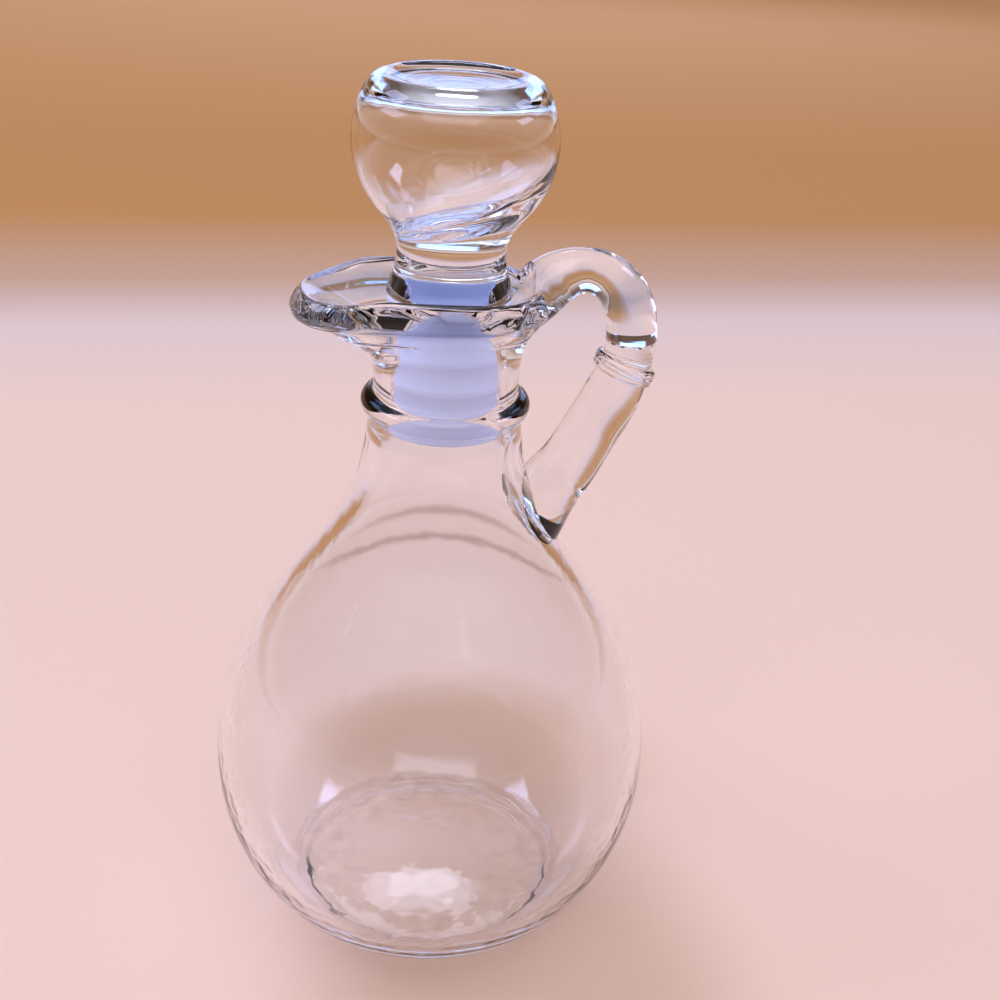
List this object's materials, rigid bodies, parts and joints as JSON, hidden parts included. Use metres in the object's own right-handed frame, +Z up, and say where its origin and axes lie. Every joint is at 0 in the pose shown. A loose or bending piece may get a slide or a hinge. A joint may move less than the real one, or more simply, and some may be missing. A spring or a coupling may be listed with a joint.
{
  "type": "oil and vinegar cruet",
  "caption": "Clear glass cruet for oil or vinegar: round belly, narrow collared neck, pouring lip, rod handle and a ball-headed glass stopper in a plastic sleeve.",
  "frame": {"origin": "centre of the base, on the surface it stands on", "axes": "+Z up along the jug's axis, +X towards the handle, -X towards the pouring lip"},
  "size_m": [0.09, 0.09, 0.177],
  "materials": {
    "clear_glass": "clear pressed and fire-polished soda-lime glass, colourless",
    "stopper_glass": "clear fire-polished soda-lime glass with a hollow head",
    "sleeve_plastic": "thin milky translucent polythene, faintly lavender"
  },
  "bodies": {
    "root": {"glass_cruet": "clear_glass", "stopper_sleeve": "sleeve_plastic", "glass_stopper": "stopper_glass"}
  },
  "joints": []
}
